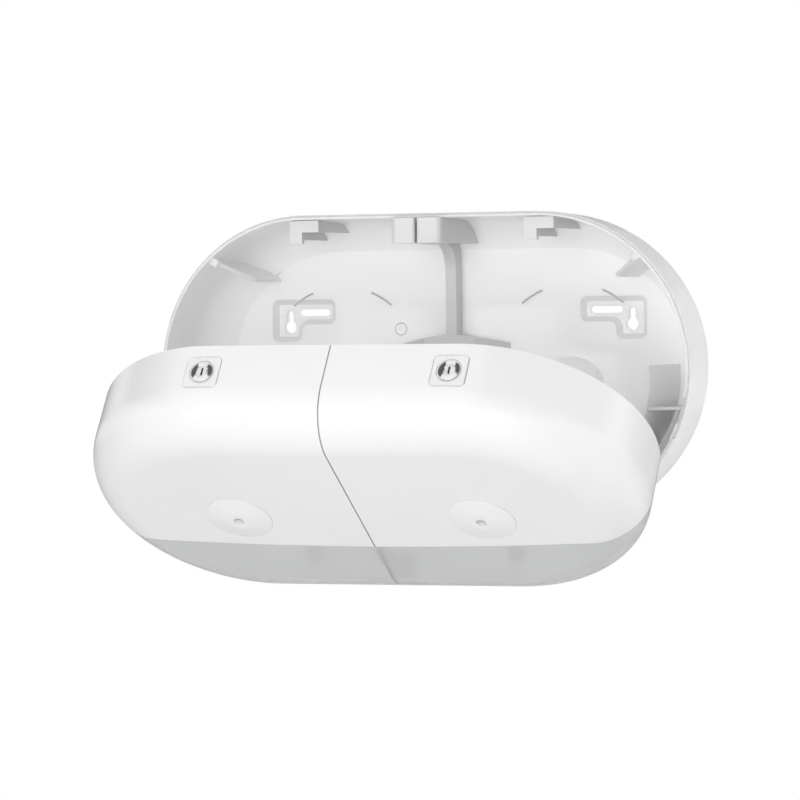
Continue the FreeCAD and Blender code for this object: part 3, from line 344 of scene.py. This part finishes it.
# %% Metals
metal("lock_chrome", (0.86, 0.86, 0.87), (0.8, 0.8, 0.82), 0.03, 0.07, (900, 900, 900), 0.03, dished=True)
metal("plug_chrome", (0.8, 0.8, 0.81), (0.7, 0.7, 0.72), 0.04, 0.1, (2500, 300, 300), 0.04, dished=True)
metal("nut_steel", (0.6, 0.6, 0.6), (0.48, 0.48, 0.47), 0.28, 0.42, (400, 900, 900))
metal("cam_steel", (0.58, 0.58, 0.58), (0.45, 0.45, 0.44), 0.26, 0.44, (120, 1600, 1600))
metal("pin_steel", (0.64, 0.64, 0.64), (0.55, 0.55, 0.54), 0.2, 0.34, (90, 2400, 2400))
metal("screw_steel", (0.6, 0.6, 0.6), (0.47, 0.47, 0.46), 0.24, 0.4, (900, 900, 900))
print("plastics and metals:", len(FINISHES))

# %% [markdown]
# ## Dressing the solids
#
# The solids come as loose triangles with knife-sharp edges. Real mouldings have small radii, and it
# is these that catch the light and draw the bright line along a rim. So each solid is copied, its
# points are welded and a bevel rounds what is left sharp. The copy then stands for the solid and
# rides on the same body.

# %% Dressing helper
WELD_DISTANCE = 0.000002
EDGE_SEGMENTS = 2
CREASE = math.radians(32)
BODY_OF = {node: body for body, nodes in frame["record"]["behaviour"]["bodies"].items() for node in nodes}
SLOT_OF = {part["node"]: part["material_slot"] for part in frame["record"]["subparts"]}


def start_alone(obj):
    bpy.ops.object.select_all(action="DESELECT")
    obj.select_set(True)
    bpy.context.view_layer.objects.active = obj


def dress(node, edge):
    """Copies a node, welds it and rounds its sharp edges by a radius in metres."""
    start_alone(frame["nodes"][node])
    bpy.ops.object.duplicate()
    piece = bpy.context.active_object
    piece.name = f"{node}_finished"
    for key in list(piece.keys()):
        del piece[key]
    bpy.ops.mesh.customdata_custom_splitnormals_clear()
    bpy.ops.object.mode_set(mode="EDIT")
    bpy.ops.mesh.select_all(action="SELECT")
    bpy.ops.mesh.remove_doubles(threshold=WELD_DISTANCE)
    bpy.ops.object.mode_set(mode="OBJECT")
    rounding = piece.modifiers.new("rounded_edges", "BEVEL")
    rounding.width = edge
    rounding.segments = EDGE_SEGMENTS
    rounding.limit_method = "ANGLE"
    rounding.angle_limit = CREASE
    rounding.use_clamp_overlap = True
    rounding.miter_outer = "MITER_ARC"
    bpy.ops.object.modifier_apply(modifier="rounded_edges")
    bpy.ops.object.shade_smooth_by_angle(angle=CREASE)
    flatten = piece.modifiers.new("flat_faces", "WEIGHTED_NORMAL")
    flatten.keep_sharp = True
    flatten.weight = 100
    bpy.ops.object.modifier_apply(modifier="flat_faces")
    piece.data.materials.clear()
    piece.data.materials.append(FINISHES[SLOT_OF[node]])
    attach(piece, BODY_OF[node])
    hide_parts(node)
    return piece


# %% Dress every solid
EDGE_RADII = {
    "rear_housing": 0.0004, "roll_divider": 0.0006, "latch_keeper": 0.0005, "front_cover": 0.0003,
    "lower_window": 0.0003, "nozzle": 0.0003, "nozzle_guide": 0.0004, "lock_bezel": 0.0005,
    "lock_barrel": 0.0002, "lock_plug": 0.00015, "barrel_nut": 0.0005, "lock_cam": 0.0003,
    "hinge_arm": 0.0003, "hinge_pin": 0.0003, "hinge_arm_screws": 0.0003, "cam_screw": 0.0004,
}
finished = {}
for node in sorted(frame["nodes"]):
    family = node.removesuffix("_left").removesuffix("_right")
    finished[node] = dress(node, EDGE_RADII[family])
    print(node, len(finished[node].data.polygons), "faces")

# %% [markdown]
# ## Painted shade in gaps, slopes and marks
#
# Narrow gaps, the step around the rim, the slopes of the sunk pads and the thin marks on the back
# panel are too small for the light alone to draw their shade. Their faces are noted in an attribute,
# which the plastics read to mix in a darker tone: painted shade. The faces are found by where they lie.

# %% Where the painted shade lies
SIDES = {"left": -1, "right": 1}
GROOVE_HALF = 0.0008
RIB_HALF = 0.0014
BEZEL_HOLE_HALF = 0.013
BEZEL_FLAT_HALF = 0.0119
PANEL_DEPTH = 0.0097
PAD_DEPTH = 0.0055
REAR_DEPTH = 0.088
LIP_END = -0.05
MARK_HEIGHT = 0.0013
CLOSE = 0.00008


def lock_square(point, side):
    """Distance from a lock's axis, as half the side of an upright square."""
    beside = Vector((side * point.x, point.y, point.z)) - LOCK
    return max(abs(beside.x), abs(beside.dot(LOCK_DOWN)))


def near_middle(half):
    return lambda corners: all(abs(p.x) < half for p in corners)


def in_bezel_hole(side):
    return lambda corners: all(lock_square(p, side) < BEZEL_HOLE_HALF for p in corners)


def on_bezel_rim(side):
    return lambda corners: all(lock_square(p, side) > BEZEL_FLAT_HALF for p in corners)


def on_mark(corners):
    return all(PANEL_DEPTH + CLOSE < -p.y < PANEL_DEPTH + MARK_HEIGHT for p in corners)


def on_pad_slope(corners):
    depths = [-p.y for p in corners]
    return PAD_DEPTH - CLOSE < min(depths) < max(depths) - CLOSE < PANEL_DEPTH


def on_rim_step(corners):
    return all(abs(p.y + REAR_DEPTH) < CLOSE and p.z > LIP_END for p in corners)


# %% Mark the faces with painted shade
# How much painted shade each kind of spot gets, from 0 to 1.
GAP_SHADE = 1.0
RIB_SHADE = 0.9
MARK_SHADE = 0.85
STEP_SHADE = 0.6
BEZEL_SHADE = 0.45
SLOPE_SHADE = 0.25


def mark_painted_shade(piece, shaded_spots):
    """Notes how much painted shade each face gets that lies wholly in one of the spots, for the materials to
    mix in.
    """
    note = piece.data.attributes.new("painted_shade", "FLOAT", "FACE")
    for face in piece.data.polygons:
        corners = [piece.data.vertices[i].co for i in face.vertices]
        for in_spot, shade in shaded_spots:
            if in_spot(corners):
                note.data[face.index].value = shade
    print(piece.name, "seam faces:", sum(item.value > 0 for item in note.data))


# Painted shade: the cover's groove and lock holes, the bezel rims, the window's rib, and the housing's marks,
# pad slopes and rim step.
bezel_holes = [(in_bezel_hole(sign), GAP_SHADE) for sign in SIDES.values()]
mark_painted_shade(finished["front_cover"], [(near_middle(GROOVE_HALF), GAP_SHADE)] + bezel_holes)
for side, sign in SIDES.items():
    mark_painted_shade(finished[f"lock_bezel_{side}"], [(on_bezel_rim(sign), BEZEL_SHADE)])
mark_painted_shade(finished["lower_window"], [(near_middle(RIB_HALF), RIB_SHADE)])
mark_painted_shade(finished["rear_housing"],
           [(on_mark, MARK_SHADE), (on_pad_slope, SLOPE_SHADE), (on_rim_step, STEP_SHADE)])

# %% [markdown]
# ## The studio
#
# A white floor and a white world. Both look pure white to the camera, directly and through the
# window, but they light the object only at a plain level, so that its pale colours don't burn out.
# The Light Path node tells these rays apart.

# %% Studio helpers
def sight(tree):
    """A light path node, and a mask of the rays that the camera sees by."""
    path = tree.nodes.new("ShaderNodeLightPath")
    seen = math_node(tree, "MAXIMUM", path.outputs["Is Camera Ray"], path.outputs["Is Transmission Ray"])
    return path, seen


def choose(tree, mask, first, second):
    """Takes the first shader where the mask is 0 and the second where it is 1."""
    node = tree.nodes.new("ShaderNodeMixShader")
    for socket, source in zip(node.inputs, (mask, first, second)):
        tree.links.new(source, socket)
    return node.outputs[0]


# %% Floor
FLOOR_SIZE = 30
FLOOR_LEVEL = -0.62
FLOOR_TONE = 0.75

bpy.ops.object.select_all(action="DESELECT")
bpy.ops.mesh.primitive_plane_add(size=FLOOR_SIZE, location=(0, 0, FLOOR_LEVEL))
floor = bpy.context.active_object
floor.name = "studio_floor"
floor_white, floor_tree, floor_shader = new_material("floor_white")
floor_shader.inputs["Base Color"].default_value = (FLOOR_TONE, FLOOR_TONE, FLOOR_TONE, 1)
floor_shader.inputs["Roughness"].default_value = 0.9
white = floor_tree.nodes.new("ShaderNodeEmission")
_, seen = sight(floor_tree)
shown = choose(floor_tree, seen, floor_shader.outputs[0], white.outputs[0])
floor_tree.links.new(shown, floor_tree.nodes["Material Output"].inputs["Surface"])
floor.data.materials.append(floor_white)
floor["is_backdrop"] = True
print("floor at", FLOOR_LEVEL)

# %% [markdown]
# ### What the mirrors see
#
# Chrome and gloss show the room around them, and in an all-white room they would vanish. So
# reflections get a room of their own: dark flags high up at both sides, which the chrome picks up,
# a dimmer part behind the object, which draws a thin line along the outline of a glossy shape, and a
# bright strip in front at eye level. Each part is a range of directions with soft edges.

# %% World
SKY_LIGHT = 0.6
FLAG_SHIFT = 0.34
FLAG_INNER_EDGE = (0.3, 0.4)
FLAG_LOWER_EDGE = (0.3, 0.45)
FLAG_DARKNESS = 0.88
BEHIND_EDGE = (0.5, 0.85)
BEHIND_DARKNESS = 0.8
STRIP_EDGE = (0.02, 0.06)
STRIP_ENDS = (-0.9, -0.8)
STRIP_LIGHT = 2.5

world = bpy.data.worlds.new("studio_world")
bpy.context.scene.world = world
world.use_nodes = True
room = world.node_tree
sky = room.nodes["Background"]
bright = room.nodes.new("ShaderNodeBackground")
mirrored = room.nodes.new("ShaderNodeBackground")
for part in (sky, bright, mirrored):
    part.inputs["Color"].default_value = (1, 1, 1, 1)
sky.inputs["Strength"].default_value = SKY_LIGHT
bright.inputs["Strength"].default_value = 1

compass = room.nodes.new("ShaderNodeTexCoord")
axes = room.nodes.new("ShaderNodeSeparateXYZ")
room.links.new(compass.outputs["Generated"], axes.inputs[0])
across, inward, height = axes.outputs
aside = math_node(room, "ABSOLUTE", math_node(room, "ADD", across, FLAG_SHIFT), 0)
flags = math_node(room, "MULTIPLY", spread(room, aside, *FLAG_INNER_EDGE),
                  spread(room, height, *FLAG_LOWER_EDGE, 0, FLAG_DARKNESS))
behind = spread(room, inward, *BEHIND_EDGE, 0, BEHIND_DARKNESS)
level = math_node(room, "ABSOLUTE", height, 0)
strip = math_node(room, "MULTIPLY", spread(room, level, *STRIP_EDGE, STRIP_LIGHT, 0),
                  spread(room, inward, *STRIP_ENDS, 1, 0))
dimmed = math_node(room, "SUBTRACT", 1, math_node(room, "MAXIMUM", flags, behind))
room.links.new(math_node(room, "ADD", dimmed, strip), mirrored.inputs["Strength"])

path, seen = sight(room)
lit = choose(room, path.outputs["Is Glossy Ray"], sky.outputs[0], mirrored.outputs[0])
room.links.new(choose(room, seen, lit, bright.outputs[0]), room.nodes["World Output"].inputs["Surface"])
print("world:", len(room.nodes), "nodes")

# %% [markdown]
# ### Lamps
#
# A large lamp straight in front lights the open housing to its back. Weaker ones above and below
# fill the top and the face of the cover. One at the right, a little behind, lights the outside of
# the housing, and a faint one behind shines on the back panel, which glows through. The lamps
# themselves are never seen, not in reflections either, because the mirrored room has its own strip.

# %% Lamps
LAMP_AIM = Vector((0, -0.12, 0))
LAMPS = {
    "key_lamp": {"place": (0.1, -2.9, 0.1), "size": (1.2, 1.2), "power": 31},
    "overhead_lamp": {"place": (0.1, -1.3, 1.6), "size": (1.4, 0.8), "power": 3.5},
    "low_lamp": {"place": (0.2, -1.6, -0.55), "size": (1.4, 0.6), "power": 6},
    "side_lamp": {"place": (1.8, 0.8, 0.25), "size": (0.8, 0.8), "power": 17},
    "back_lamp": {"place": (-0.1, 1.1, 0.25), "size": (1.0, 0.6), "power": 3},
}
for name, values in LAMPS.items():
    light = bpy.data.lights.new(name, "AREA")
    light.shape = "RECTANGLE"
    light.size, light.size_y = values["size"]
    light.energy = values["power"]
    lamp = bpy.data.objects.new(name, light)
    bpy.context.scene.collection.objects.link(lamp)
    lamp.location = values["place"]
    lamp.rotation_euler = (LAMP_AIM - lamp.location).to_track_quat("-Z", "Y").to_euler()
    lamp.visible_camera = False
    lamp.visible_glossy = False
bpy.context.scene.view_settings.view_transform = "Standard"
print("lamps:", list(LAMPS))

# %% [markdown]
# ## Measure
#
# The box of the dressed model is printed beside the box of the solids.

# %% Measure and finish
dressed_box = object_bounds()
for label, box in (("solids", solid_box), ("dressed", dressed_box)):
    print(label, [[round(v, 4) for v in corner] for corner in box])
